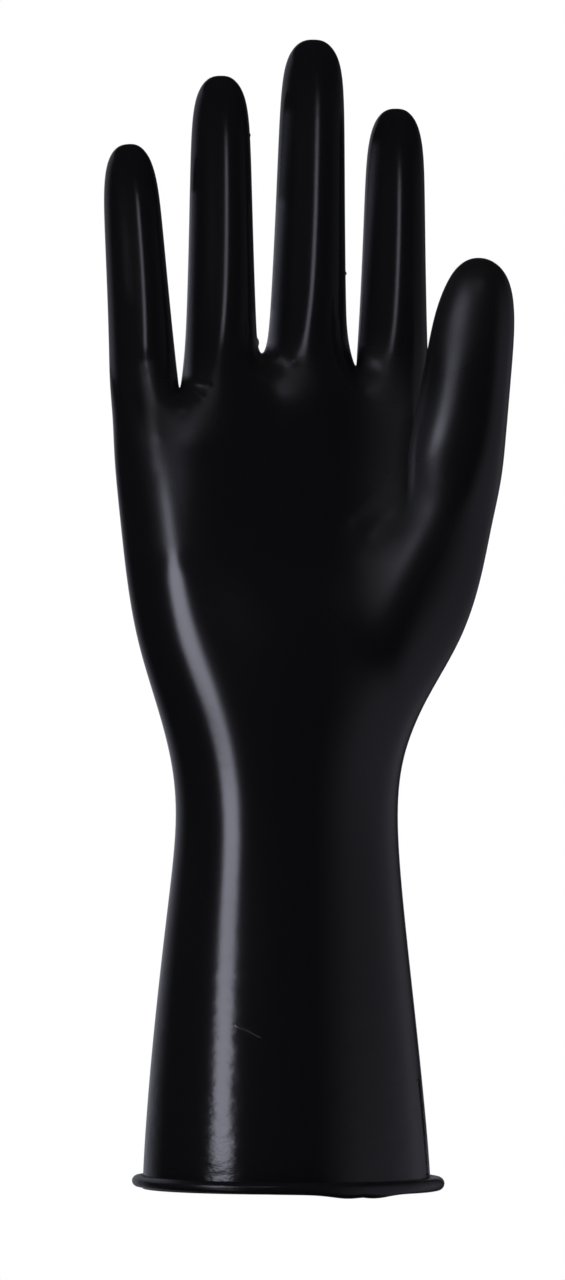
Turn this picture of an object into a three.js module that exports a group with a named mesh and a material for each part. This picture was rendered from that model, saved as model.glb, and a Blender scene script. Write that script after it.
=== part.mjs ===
// A heavy dipped rubber gauntlet glove for the right hand, with a rolled rim at its cuff.
// Millimetres. The fingers point up (+Z), the palm faces -Y and the thumb is at +X. The origin is the centre of the
// cuff's mouth, level with the lowest point of the rim.
//
// The glove is a control cage of four-sided faces: rings of points climb the cuff, wrist and palm, then part into the
// thumb and the four fingers. One round of Catmull-Clark subdivision smooths the cage, and its points then move onto
// the surface that more rounds would reach. A second skin, one wall thickness inside, makes the hollow.
import * as THREE from 'three';

const WALL = 1.2;

// Below this height the inner skin stands level with the outer one, so that the cut edge at the cuff is square.
const SQUARE_BELOW = 3;

// Around the cuff, wrist and palm there are twenty columns of points. Column 0 is the little finger's edge, the palm's
// columns follow it across the front, column 10 is the thumb's edge, and the rest come back across the hand's back.
const BODY_COLUMNS = 20;
const STALL_COLUMNS = 8;

// Sections of the cuff, wrist and palm. left and right are the hand's edges, front and back are the depths of the palm
// side and the back from the cuff's axis. outer is how far the thumb's root reaches, and forward how far in front.
const SECTIONS = [
  { z: 0.6, left: -41.4, right: 41.2, front: 41.3, back: 41.3, outer: 41.2, forward: 0 },
  { z: 12, left: -41.0, right: 40.6, front: 40.8, back: 40.8, outer: 40.6, forward: 0 },
  { z: 42, left: -38.7, right: 37.7, front: 36.6, back: 38.2, outer: 37.7, forward: 0 },
  { z: 80, left: -34.4, right: 33.4, front: 30.8, back: 32.4, outer: 33.4, forward: 0 },
  { z: 106, left: -31.1, right: 31.2, front: 27.6, back: 27.6, outer: 31.2, forward: 0 },
  { z: 124, left: -32.9, right: 32.5, front: 27.0, back: 24.6, outer: 32.5, forward: 2 },
  { z: 141, left: -37.9, right: 37.0, front: 26.2, back: 22.0, outer: 40.2, forward: 5 },
  { z: 157, left: -43.0, right: 39.5, front: 24.8, back: 19.4, outer: 51.4, forward: 9.6 },
  { z: 174, left: -45.9, right: 40.5, front: 22.8, back: 16.8, outer: 57.4, forward: 16.6 },
  { z: 191, left: -47.7, right: 41.5, front: 21.0, back: 14.8, outer: 60.5, forward: 21 },
  { z: 209, left: -49.6, right: 43.0, front: 19.4, back: 12.8, outer: 43.0, forward: 0 },
];
const THUMB_LEAVES_AT = 9;

// How much of the thumb's outward and forward shift each column takes, from the palm round the edge to the back.
const THUMB_COLUMNS = [
  { column: 8, outward: 0, forward: 0.1 },
  { column: 9, outward: 0.4, forward: 1.2 },
  { column: 10, outward: 1, forward: 1 },
  { column: 11, outward: 0.87, forward: 0.75 },
  { column: 12, outward: 0.34, forward: 0.28 },
  { column: 13, outward: 0.08, forward: 0.06 },
];

// The muscle under the thumb: places of single points of the palm side, before the hand's lean.
const THUMB_PAD = [
  { z: 141, column: 8, x: 29.5, y: -16.5 },
  { z: 141, column: 9, x: 35.4, y: -13.0 },
  { z: 157, column: 7, x: 21.5, y: -20.5 },
  { z: 157, column: 8, x: 29.0, y: -21.8 },
  { z: 157, column: 9, x: 37.5, y: -20.0 },
  { z: 174, column: 7, x: 20.0, y: -18.8 },
  { z: 174, column: 8, x: 28.5, y: -22.3 },
  { z: 174, column: 9, x: 37.5, y: -25.0 },
  { z: 191, column: 7, x: 22.5, y: -16.5 },
  { z: 191, column: 8, x: 30.5, y: -19.5 },
  { z: 191, column: 9, x: 42.0, y: -30.0 },
];

// Soft swellings and hollows of the palm side, each a smooth mound that lifts the surface towards the front.
const PALM_RELIEF = [
  { name: 'thumb pad', x: 27, z: 160, wide: 16, tall: 20, lift: 3.0 },
  { name: 'little finger border', x: -34, z: 202, wide: 9, tall: 22, lift: 3.6 },
  { name: 'little finger pad', x: -30, z: 182, wide: 9, tall: 14, lift: 1.6 },
  { name: 'palm hollow', x: 7, z: 191, wide: 22, tall: 26, lift: -3.0 },
];

// The hand leans back from the cuff's axis: not at all below the wrist, then more and more, and evenly above the palm.
const HAND_LEAN = 0.05;
const LEAN_STARTS = 128;
const LEAN_EVEN = 192;

// The web between thumb and palm, from the palm side to the back.
const THUMB_WEB = [
  { x: 32.5, y: -15.5, z: 196 },
  { x: 39.5, y: -9.5, z: 199 },
  { x: 45, y: -2, z: 198 },
];

// The row of knuckles from the little finger's outer edge to the index finger's. The names say what each point is at.
// front and back are its depths on the two sides of the hand.
const KNUCKLES = [
  { name: 'outer edge', x: -50.8, z: 220.5, front: 0.0, back: 0.0 },
  { name: 'outer corner', x: -47.9, z: 220.5, front: 9.6, back: 6.6 },
  { name: 'little finger', x: -39.6, z: 220.0, front: 15.8, back: 9.6 },
  { name: 'crotch', x: -30.7, z: 223.8, front: 17.2, back: 10.2 },
  { name: 'ring finger', x: -18.7, z: 226.8, front: 17.7, back: 11.4 },
  { name: 'crotch', x: -6.7, z: 234.4, front: 14.4, back: 10.2 },
  { name: 'middle finger', x: 6.6, z: 229.8, front: 17.2, back: 11.8 },
  { name: 'crotch', x: 19.9, z: 229.8, front: 14.4, back: 10.2 },
  { name: 'index finger', x: 30.7, z: 223.4, front: 16.4, back: 10.6 },
  { name: 'inner corner', x: 38.8, z: 221.6, front: 10.4, back: 7.0 },
  { name: 'inner edge', x: 42.4, z: 221.5, front: 0.0, back: 0.0 },
];

// The floors of the three crotches, midway between the front and the back.
const CROTCH_FLOORS = [
  { x: -30.7, y: -3, z: 229.6 },
  { x: -6.7, y: -3, z: 241.6 },
  { x: 19.9, y: -3, z: 236.4 },
];

// Each finger runs straight from its root to its tip. half_width is at mid length.
const FINGERS = [
  { name: 'little', root: [-40.8, -4.5, 226], tip: [-45.9, 2.5, 300.2], half_width: 8.85 },
  { name: 'ring', root: [-19.0, -5.0, 234], tip: [-19.3, 2.5, 319.9], half_width: 9.35 },
  { name: 'middle', root: [5.6, -5.0, 237], tip: [7.4, 2.5, 330.3], half_width: 10.1 },
  { name: 'index', root: [29.9, -5.0, 233], tip: [31.1, 2.0, 310.4], half_width: 9.15 },
];
const FINGER_FLATNESS = 0.93;

// The pads of the fingers and the thumb face a little to one side: their front halves slant by this share of their
// depth.
const PAD_TURN = 0.4;
const KNUCKLE_TURN = 0.15;

// How a finger's width changes between root and tip, where it is even along the middle.
const FINGER_RINGS = [
  { share: 0.07, width: 1.12, turned: 0.4 },
  { share: 0.2, width: 1.07, turned: 0.8 },
  { share: 0.46, width: 1.0, turned: 1.0 },
  { share: 0.72, width: 0.95, turned: 1.0 },
];

// The rounded tip of any finger, by distance below its end.
const TIP_RINGS = [
  { below: 11.5, width: 0.89, turned: 1.0 },
  { below: 4.2, width: 0.71, turned: 0.8 },
  { below: 0.4, width: 0.36, turned: 0.6 },
];

// The thumb's own sections, from its root up. half_width is across the thumb and half_depth from nail to pad.
const THUMB_RINGS = [
  { x: 46.9, y: -22.6, z: 206, half_width: 14.3, half_depth: 10.6, turned: 0.5 },
  { x: 48.9, y: -26.6, z: 220, half_width: 13.2, half_depth: 11.0, turned: 1.15 },
  { x: 50.8, y: -31.2, z: 235, half_width: 12.5, half_depth: 10.8, turned: 1.15 },
  { x: 52.6, y: -35.6, z: 248, half_width: 11.8, half_depth: 10.0, turned: 1.0 },
  { x: 54.2, y: -38.6, z: 257.2, half_width: 9.9, half_depth: 8.4, turned: 1.0 },
  { x: 55.1, y: -40.3, z: 262.8, half_width: 7.1, half_depth: 6.0, turned: 1.0 },
  { x: 55.5, y: -41.0, z: 265.4, half_width: 3.2, half_depth: 2.8, turned: 1.0 },
];

const THUMB_TIP_RISE = 0.6;

// Where the first of a stall's eight points sits, as a turn from its outer side towards the back of the hand.
const FINGER_TURN = -0.75 * Math.PI;
const THUMB_TURN = -0.625 * Math.PI;

// The rolled rim. Its roll is thinner on the little finger's side, which also sits a little higher.
const RIM_CLEARANCE = 0.35;
const RIM_THIN = 1.45;
const RIM_THICK = 1.8;
const RIM_RISE = 1.2;
const RIM_WAVE = 0.15;
const RIM_WAVES = 5;
const RIM_STEPS = 72;
const RIM_SIDES = 8;

// A regular ring of control points pulls in by this much when it is smoothed, so rings are drawn larger to suit.
function ringReach(columns) {
  return 2 / 3 + Math.cos((2 * Math.PI) / columns) / 3;
}

function relief(x, z) {
  let lift = 0;
  for (const mound of PALM_RELIEF) {
    const across = (x - mound.x) / mound.wide;
    const along = (z - mound.z) / mound.tall;
    lift += mound.lift * Math.exp(-across * across - along * along);
  }
  return lift;
}

function lean(z) {
  const bending = Math.min(Math.max(z - LEAN_STARTS, 0), LEAN_EVEN - LEAN_STARTS);
  const bent = (bending * bending) / (2 * (LEAN_EVEN - LEAN_STARTS));
  return HAND_LEAN * (bent + Math.max(z - LEAN_EVEN, 0));
}

// One ring of the cuff, wrist or palm.
function bodyRing(section) {
  const centre = (section.left + section.right) / 2;
  const reach = ringReach(BODY_COLUMNS);
  const halfWidth = (section.right - section.left) / 2 / reach;
  const ring = [];
  for (let column = 0; column < BODY_COLUMNS; column += 1) {
    const turn = Math.PI * (1 + (2 * column) / BODY_COLUMNS);
    const depth = Math.sin(turn) < 0 ? section.front : section.back;
    const x = centre + halfWidth * Math.cos(turn);
    let y = (depth / reach) * Math.sin(turn);
    if (Math.sin(turn) < 0) {
      y -= relief(x, section.z) * -Math.sin(turn);
    }
    ring.push(new THREE.Vector3(x, y, section.z));
  }
  for (const { column, outward, forward } of THUMB_COLUMNS) {
    ring[column].x += outward * (section.outer - section.right);
    ring[column].y -= forward * section.forward;
  }
  for (const { z, column, x, y } of THUMB_PAD) {
    if (z === section.z) {
      ring[column].set(x, y, z);
    }
  }
  return ring;
}

// The ring at the knuckles goes across the front and comes back across the back of the hand.
function knuckleRing() {
  const front = KNUCKLES.map((point) => {
    const shift = point.name.endsWith('finger') ? KNUCKLE_TURN * point.front : 0;
    return new THREE.Vector3(point.x + shift, -point.front, point.z);
  });
  const back = KNUCKLES.map((point) => new THREE.Vector3(point.x, point.back, point.z));
  return [...front, ...back.slice(1, -1).reverse()];
}

// A ring of eight points round a stall, square to its run. The first point is at firstTurn from the outer side.
function stallRing(centre, run, halfWidth, halfDepth, firstTurn, slant) {
  const outer = new THREE.Vector3(1, 0, 0).addScaledVector(run, -run.x).normalize();
  const back = new THREE.Vector3().crossVectors(run, outer);
  const reach = ringReach(STALL_COLUMNS);
  const inward = halfWidth / reach;
  const outward = Math.sqrt(halfWidth ** 2 - (slant * halfDepth) ** 2) / reach;
  const deep = halfDepth / reach;
  const ring = [];
  for (let i = 0; i < STALL_COLUMNS; i += 1) {
    const turn = firstTurn + (2 * Math.PI * i) / STALL_COLUMNS;
    const point = centre.clone();
    const across = Math.cos(turn) > 0 ? outward : inward;
    point.addScaledVector(outer, across * Math.cos(turn) + slant * deep * Math.max(-Math.sin(turn), 0));
    point.addScaledVector(back, deep * Math.sin(turn));
    ring.push(point);
  }
  return ring;
}

// A cage is its points and its faces, each face a list of point numbers.
function addRing(cage, ring) {
  return ring.map((point) => cage.points.push(point) - 1);
}

function stitch(cage, lower, upper) {
  for (let i = 0; i < lower.length; i += 1) {
    const next = (i + 1) % lower.length;
    cage.faces.push([lower[i], lower[next], upper[next], upper[i]]);
  }
}

// Closes a stall's last ring of eight with four faces round a point in the middle.
function closeTip(cage, ring, tip) {
  const [middle] = addRing(cage, [tip]);
  for (let i = 1; i < ring.length; i += 2) {
    cage.faces.push([ring[i], ring[(i + 1) % ring.length], ring[(i + 2) % ring.length], middle]);
  }
}

function addFinger(cage, base, finger) {
  const root = new THREE.Vector3(...finger.root);
  const tip = new THREE.Vector3(...finger.tip);
  const run = tip.clone().sub(root).normalize();
  const length = root.distanceTo(tip);
  const stations = [
    ...FINGER_RINGS.map((row) => ({ along: row.share * length, ...row })),
    ...TIP_RINGS.map((row) => ({ along: length - row.below, ...row })),
  ];
  let lower = base;
  for (const station of stations) {
    const centre = root.clone().addScaledVector(run, station.along);
    const halfWidth = finger.half_width * station.width;
    const slant = PAD_TURN * station.turned;
    const ring = stallRing(centre, run, halfWidth, halfWidth * FINGER_FLATNESS, FINGER_TURN, slant);
    const upper = addRing(cage, ring);
    stitch(cage, lower, upper);
    lower = upper;
  }
  closeTip(cage, lower, tip);
}

function addThumb(cage, base) {
  const centres = THUMB_RINGS.map((row) => new THREE.Vector3(row.x, row.y, row.z));
  let lower = base;
  for (let i = 0; i < centres.length; i += 1) {
    const before = centres[Math.max(i - 1, 0)];
    const after = centres[Math.min(i + 1, centres.length - 1)];
    const run = after.clone().sub(before).normalize();
    const { half_width: halfWidth, half_depth: halfDepth, turned } = THUMB_RINGS[i];
    const upper = addRing(cage, stallRing(centres[i], run, halfWidth, halfDepth, THUMB_TURN, PAD_TURN * turned));
    stitch(cage, lower, upper);
    lower = upper;
  }
  const last = centres[centres.length - 1];
  closeTip(cage, lower, new THREE.Vector3(last.x, last.y, last.z + THUMB_TIP_RISE));
}

// The whole cage. Where the thumb leaves, the web's points take the place of the palm's edge columns above it.
function gloveCage() {
  const cage = { points: [], faces: [] };
  const rings = SECTIONS.map((section) => addRing(cage, bodyRing(section)));
  for (let i = 0; i < THUMB_LEAVES_AT; i += 1) {
    stitch(cage, rings[i], rings[i + 1]);
  }
  const parting = rings[THUMB_LEAVES_AT];
  const web = addRing(cage, THUMB_WEB.map((point) => new THREE.Vector3(point.x, point.y, point.z)));
  addThumb(cage, [...parting.slice(8, 13), ...web.toReversed()]);
  let lower = [...parting.slice(0, 9), ...web, ...parting.slice(12)];
  for (let i = THUMB_LEAVES_AT + 1; i < rings.length; i += 1) {
    stitch(cage, lower, rings[i]);
    lower = rings[i];
  }
  const knuckles = addRing(cage, knuckleRing());
  stitch(cage, lower, knuckles);
  addFingers(cage, knuckles);
  for (const point of cage.points) {
    point.y += lean(point.z);
  }
  return cage;
}

// Each finger stands on eight points: three across the palm side, three across the back and one at each crotch.
function addFingers(cage, knuckles) {
  const middles = addRing(cage, CROTCH_FLOORS.map((floor) => new THREE.Vector3(floor.x, floor.y, floor.z)));
  const floors = [knuckles[0], ...middles, knuckles[10]];
  FINGERS.forEach((finger, k) => {
    const front = knuckles.slice(2 * k + 1, 2 * k + 4);
    const back = knuckles.slice(17 - 2 * k, 20 - 2 * k);
    addFinger(cage, [...front, floors[k + 1], ...back, floors[k]], finger);
  });
}

// The neighbours that smoothing needs: for each edge its two ends and its faces, and for each point its edges and faces.
function connections(cage) {
  const edges = new Map();
  const around = cage.points.map(() => ({ edges: [], faces: [] }));
  cage.faces.forEach((face, f) => {
    face.forEach((a, i) => {
      const b = face[(i + 1) % face.length];
      const key = a < b ? `${a},${b}` : `${b},${a}`;
      if (!edges.has(key)) {
        edges.set(key, { ends: [a, b], faces: [] });
        around[a].edges.push(key);
        around[b].edges.push(key);
      }
      edges.get(key).faces.push(f);
      around[a].faces.push(f);
    });
  });
  return { edges, around };
}

function average(points) {
  const sum = new THREE.Vector3();
  for (const point of points) {
    sum.add(point);
  }
  return sum.divideScalar(points.length);
}

function otherEnd(edge, point) {
  return edge.ends[0] === point ? edge.ends[1] : edge.ends[0];
}

// One round of Catmull-Clark subdivision. Points on the open edge follow a smooth curve of their own.
function subdivide(cage) {
  const { edges, around } = connections(cage);
  const { points, faces } = cage;
  const middles = faces.map((face) => average(face.map((i) => points[i])));
  const moved = points.map((point, i) => {
    const rim = around[i].edges.map((key) => edges.get(key)).filter((edge) => edge.faces.length === 1);
    if (rim.length === 2) {
      const sides = average(rim.map((edge) => points[otherEnd(edge, i)]));
      return point.clone().multiplyScalar(0.75).addScaledVector(sides, 0.25);
    }
    const n = around[i].edges.length;
    const faceMean = average(around[i].faces.map((f) => middles[f]));
    const endMean = average(around[i].edges.map((key) => points[otherEnd(edges.get(key), i)]));
    return point.clone().multiplyScalar((n - 2) / n).addScaledVector(faceMean, 1 / n).addScaledVector(endMean, 1 / n);
  });
  const made = { points: [...moved, ...middles], faces: [] };
  const edgePoint = new Map();
  for (const [key, edge] of edges) {
    const corners = edge.ends.map((i) => points[i]);
    if (edge.faces.length === 2) {
      corners.push(...edge.faces.map((f) => middles[f]));
    }
    edgePoint.set(key, made.points.push(average(corners)) - 1);
  }
  faces.forEach((face, f) => {
    const sides = face.map((a, i) => {
      const b = face[(i + 1) % face.length];
      return edgePoint.get(a < b ? `${a},${b}` : `${b},${a}`);
    });
    face.forEach((corner, i) => {
      const before = sides[(i + face.length - 1) % face.length];
      made.faces.push([corner, sides[i], points.length + f, before]);
    });
  });
  return made;
}

// Moves every point of a mesh of four-sided faces to where endless subdivision would leave it.
function settle(mesh) {
  const { edges, around } = connections(mesh);
  const { points, faces } = mesh;
  const settled = points.map((point, i) => {
    const joined = around[i].edges.map((key) => edges.get(key));
    const rim = joined.filter((edge) => edge.faces.length === 1);
    if (rim.length === 2) {
      const sides = average(rim.map((edge) => points[otherEnd(edge, i)]));
      return point.clone().multiplyScalar(2 / 3).addScaledVector(sides, 1 / 3);
    }
    const n = joined.length;
    const result = point.clone().multiplyScalar(n * n);
    for (const edge of joined) {
      result.addScaledVector(points[otherEnd(edge, i)], 4);
    }
    for (const f of around[i].faces) {
      const face = faces[f];
      result.add(points[face[(face.indexOf(i) + 2) % 4]]);
    }
    return result.divideScalar(n * (n + 5));
  });
  return { points: settled, faces };
}

function pointNormals(mesh) {
  const normals = mesh.points.map(() => new THREE.Vector3());
  for (const face of mesh.faces) {
    const [a, b, c, d] = face.map((i) => mesh.points[i]);
    const facing = new THREE.Vector3().crossVectors(c.clone().sub(a), d.clone().sub(b));
    for (const i of face) {
      normals[i].add(facing);
    }
  }
  return normals.map((normal) => normal.normalize());
}

// Each four-sided face becomes two triangles, cut along its shorter diagonal.
function faceTriangles(points, face) {
  const [a, b, c, d] = face;
  if (points[a].distanceTo(points[c]) < points[b].distanceTo(points[d])) {
    return [a, b, c, a, c, d];
  }
  return [a, b, d, b, c, d];
}

// The glove's wall: the outer skin, the inner skin turned inside out, and the cut edge that joins them at the cuff.
function gloveGeometry() {
  const outer = settle(subdivide(gloveCage()));
  const normals = pointNormals(outer);
  const count = outer.points.length;
  const inner = outer.points.map((point, i) => {
    const inset = normals[i].clone();
    if (point.z < SQUARE_BELOW) {
      inset.setZ(0).normalize();
    }
    return point.clone().addScaledVector(inset, -WALL);
  });
  const points = [...outer.points, ...inner];
  const triangles = [];
  for (const face of outer.faces) {
    const skin = faceTriangles(points, face);
    triangles.push(...skin);
    for (let i = 0; i < skin.length; i += 3) {
      triangles.push(skin[i] + count, skin[i + 2] + count, skin[i + 1] + count);
    }
  }
  for (const edge of connections(outer).edges.values()) {
    if (edge.faces.length === 1) {
      const [a, b] = edge.ends;
      triangles.push(b, a, a + count, b, a + count, b + count);
    }
  }
  const geometry = new THREE.BufferGeometry();
  geometry.setAttribute('position', new THREE.Float32BufferAttribute(points.flatMap((p) => p.toArray()), 3));
  geometry.setIndex(triangles);
  geometry.computeVertexNormals();
  return geometry;
}

// The rolled rim is a ring whose roll and height change slowly on the way round, just clear of the cuff's wall.
function rimGeometry() {
  const wallRadius = SECTIONS[0].front;
  const geometry = new THREE.TorusGeometry(wallRadius, 1, RIM_SIDES, RIM_STEPS);
  const position = geometry.getAttribute('position');
  for (let i = 0; i < position.count; i += 1) {
    const x = position.getX(i);
    const y = position.getY(i);
    const around = Math.atan2(y, x);
    const outwards = Math.hypot(x, y) - wallRadius;
    const thumbSide = (1 + Math.cos(around)) / 2;
    const roll = RIM_THIN + (RIM_THICK - RIM_THIN) * thumbSide;
    const wave = RIM_WAVE * (1 + Math.sin(RIM_WAVES * around));
    const radius = wallRadius + RIM_CLEARANCE + roll + outwards * roll;
    const height = roll + RIM_RISE * (1 - thumbSide) + wave + position.getZ(i) * roll;
    position.setXYZ(i, radius * Math.cos(around), radius * Math.sin(around), height);
  }
  geometry.computeVertexNormals();
  return geometry;
}

function blackRubber(roughness) {
  return new THREE.MeshStandardMaterial({ color: 0x0d0d0f, roughness, metalness: 0 });
}

function namedMesh(name, geometry, material) {
  const mesh = new THREE.Mesh(geometry, material);
  mesh.name = name;
  return mesh;
}

const glove = new THREE.Group();
glove.add(namedMesh('glove_shell', gloveGeometry(), blackRubber(0.2)));
glove.add(namedMesh('cuff_bead', rimGeometry(), blackRubber(0.3)));

export default glove;
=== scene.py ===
"""A long black latex gauntlet glove for the right hand, standing in its worn shape in a plain white studio.

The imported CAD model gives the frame: metres, +Z towards the fingertips, the palm faces -Y and the thumb is at
+X. Sizes in the glove's tables are millimetres, and MM turns them into metres where a point is made.
"""

import math
from typing import NamedTuple

import bmesh
import bpy
from mathutils import Matrix, Vector


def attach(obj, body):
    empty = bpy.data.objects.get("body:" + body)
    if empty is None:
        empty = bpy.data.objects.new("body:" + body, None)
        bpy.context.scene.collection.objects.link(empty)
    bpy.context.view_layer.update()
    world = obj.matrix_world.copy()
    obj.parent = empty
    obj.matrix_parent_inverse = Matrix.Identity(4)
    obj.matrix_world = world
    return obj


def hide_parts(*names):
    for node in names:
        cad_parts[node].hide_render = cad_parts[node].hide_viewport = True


bl_info = {
    "name": "Latex gauntlet glove",
    "version": (1, 0, 0),
    "blender": (4, 5, 0),
    "location": "View3D > Sidebar > Glove",
    "description": "Models a black latex glove with a rolled rim, its finish and a small white studio",
    "category": "Object",
}

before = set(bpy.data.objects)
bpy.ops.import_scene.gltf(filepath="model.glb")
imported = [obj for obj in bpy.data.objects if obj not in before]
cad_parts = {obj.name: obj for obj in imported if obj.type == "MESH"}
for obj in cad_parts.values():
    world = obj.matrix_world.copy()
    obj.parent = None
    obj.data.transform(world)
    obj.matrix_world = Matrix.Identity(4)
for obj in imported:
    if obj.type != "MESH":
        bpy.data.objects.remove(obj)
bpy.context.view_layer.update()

MM = 0.001

# Control points in a ring of the body, and in a ring of a finger or the thumb.
BODY_COLUMNS = 20
STALL_COLUMNS = 8


class Section(NamedTuple):
    """A ring of the cuff, wrist or palm. Its thumb side reaches out to outer and comes forward by forward."""

    height: float
    left: float
    right: float
    front: float
    back: float
    outer: float
    forward: float


SECTIONS = (
    Section(0.6, -41.4, 41.2, 41.3, 41.3, 41.2, 0.0),
    Section(12, -41.0, 40.6, 40.8, 40.8, 40.6, 0.0),
    Section(42, -38.7, 37.7, 36.6, 38.2, 37.7, 0.0),
    Section(80, -34.4, 33.4, 30.8, 32.4, 33.4, 0.0),
    Section(106, -31.1, 31.2, 27.6, 27.6, 31.2, 0.0),
    Section(124, -32.9, 32.5, 27.0, 24.6, 32.5, 2.0),
    Section(141, -37.9, 37.0, 26.2, 22.0, 40.2, 5.0),
    Section(157, -43.0, 39.5, 24.8, 19.4, 51.4, 9.6),
    Section(174, -45.9, 40.5, 22.8, 16.8, 57.4, 16.6),
    Section(191, -47.7, 41.5, 21.0, 14.8, 60.5, 21.0),
    Section(209, -49.6, 43.0, 19.4, 12.8, 43.0, 0.0),
)
# The section at which the thumb leaves the palm, and the columns of its root's two ends.
THUMB_LEAVES_AT = 9
THUMB_FRONT = 8
THUMB_BACK = 12


class ThumbColumn(NamedTuple):
    """The share of a section's outward and forward shift that one column of points takes."""

    column: int
    outward: float
    forward: float


THUMB_COLUMNS = (
    ThumbColumn(8, 0.0, 0.1),
    ThumbColumn(9, 0.4, 1.2),
    ThumbColumn(10, 1.0, 1.0),
    ThumbColumn(11, 0.87, 0.75),
    ThumbColumn(12, 0.34, 0.28),
    ThumbColumn(13, 0.08, 0.06),
)


class PadPoint(NamedTuple):
    """Where one control point of the muscle under the thumb sits, before the hand's lean."""

    height: float
    column: int
    x: float
    y: float


THUMB_PAD = (
    PadPoint(141, 8, 29.5, -16.5),
    PadPoint(141, 9, 35.4, -13.0),
    PadPoint(157, 7, 21.5, -20.5),
    PadPoint(157, 8, 29.0, -21.8),
    PadPoint(157, 9, 37.5, -20.0),
    PadPoint(174, 7, 20.0, -18.8),
    PadPoint(174, 8, 28.5, -22.3),
    PadPoint(174, 9, 37.5, -25.0),
    PadPoint(191, 7, 22.5, -16.5),
    PadPoint(191, 8, 30.5, -19.5),
    PadPoint(191, 9, 42.0, -30.0),
)


class Mound(NamedTuple):
    """A smooth swelling of the palm side, or a hollow where lift is negative."""

    name: str
    x: float
    z: float
    wide: float
    tall: float
    lift: float


PALM_RELIEF = (
    Mound("thumb pad", 27, 160, 16, 20, 3.0),
    Mound("little finger border", -34, 202, 9, 22, 3.6),
    Mound("little finger pad", -30, 182, 9, 14, 1.6),
    Mound("palm hollow", 7, 191, 22, 26, -3.0),
)

# The hand leans back from the cuff's axis, more and more up to LEAN_EVEN and evenly above it.
HAND_LEAN = 0.05
LEAN_STARTS = 128
LEAN_EVEN = 192

# Points (x, y, z) of the web between the thumb and the palm, from front to back.
THUMB_WEB = ((32.5, -15.5, 196), (39.5, -9.5, 199), (45, -2, 198))


class Knuckle(NamedTuple):
    """A point of the row where the fingers part, with its depth on the two sides of the hand."""

    name: str
    x: float
    z: float
    front: float
    back: float


KNUCKLES = (
    Knuckle("outer edge", -50.8, 220.5, 0.0, 0.0),
    Knuckle("outer corner", -47.9, 220.5, 9.6, 6.6),
    Knuckle("little finger", -39.6, 220.0, 15.8, 9.6),
    Knuckle("crotch", -30.7, 223.8, 17.2, 10.2),
    Knuckle("ring finger", -18.7, 226.8, 17.7, 11.4),
    Knuckle("crotch", -6.7, 234.4, 14.4, 10.2),
    Knuckle("middle finger", 6.6, 229.8, 17.2, 11.8),
    Knuckle("crotch", 19.9, 229.8, 14.4, 10.2),
    Knuckle("index finger", 30.7, 223.4, 16.4, 10.6),
    Knuckle("inner corner", 38.8, 221.6, 10.4, 7.0),
    Knuckle("inner edge", 42.4, 221.5, 0.0, 0.0),
)

# The lowest point (x, y, z) of each crotch.
CROTCH_FLOORS = ((-30.7, -3, 229.6), (-6.7, -3, 241.6), (19.9, -3, 236.4))


class Finger(NamedTuple):
    """A straight finger. half_width is at mid length."""

    name: str
    root: tuple
    tip: tuple
    half_width: float


FINGERS = (
    Finger("little", (-40.8, -4.5, 226), (-45.9, 2.5, 300.2), 8.85),
    Finger("ring", (-19.0, -5.0, 234), (-19.3, 2.5, 319.9), 9.35),
    Finger("middle", (5.6, -5.0, 237), (7.4, 2.5, 330.3), 10.1),
    Finger("index", (29.9, -5.0, 233), (31.1, 2.0, 310.4), 9.15),
)
FINGER_FLATNESS = 0.93

# The pads of the fingers and the thumb face a little to one side. Their front halves, and the knuckles under
# them, slant by this share of their depth.
PAD_TURN = 0.4
KNUCKLE_TURN = 0.15


class FingerRing(NamedTuple):
    """A section of every finger. width is against mid length, and turned is its share of the pad's slant."""

    place: float
    width: float
    turned: float


# place is a share of the finger's length here.
FINGER_RINGS = (
    FingerRing(0.07, 1.12, 0.4),
    FingerRing(0.2, 1.07, 0.8),
    FingerRing(0.46, 1.0, 1.0),
    FingerRing(0.72, 0.95, 1.0),
)
# place is a distance below the tip here.
TIP_RINGS = (
    FingerRing(11.5, 0.89, 1.0),
    FingerRing(4.2, 0.71, 0.8),
    FingerRing(0.4, 0.36, 0.6),
)


class ThumbRing(NamedTuple):
    """A section of the thumb. half_width is across it and half_depth from nail to pad."""

    x: float
    y: float
    z: float
    half_width: float
    half_depth: float
    turned: float


THUMB_RINGS = (
    ThumbRing(46.9, -22.6, 206, 14.3, 10.6, 0.5),
    ThumbRing(48.9, -26.6, 220, 13.2, 11.0, 1.15),
    ThumbRing(50.8, -31.2, 235, 12.5, 10.8, 1.15),
    ThumbRing(52.6, -35.6, 248, 11.8, 10.0, 1.0),
    ThumbRing(54.2, -38.6, 257.2, 9.9, 8.4, 1.0),
    ThumbRing(55.1, -40.3, 262.8, 7.1, 6.0, 1.0),
    ThumbRing(55.5, -41.0, 265.4, 3.2, 2.8, 1.0),
)
THUMB_TIP_RISE = 0.6
# The angle of the first point of a ring, where 0 is the thumb's side and -pi / 2 the palm side.
FINGER_TURN = -0.75 * math.pi
THUMB_TURN = -0.625 * math.pi


class Fold(NamedTuple):
    """A soft ridge on the palm side from start to end, or a groove where height is negative.

    start and end are (x, z). The sides slope away within about width.
    """

    start: tuple
    end: tuple
    width: float
    height: float


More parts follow.
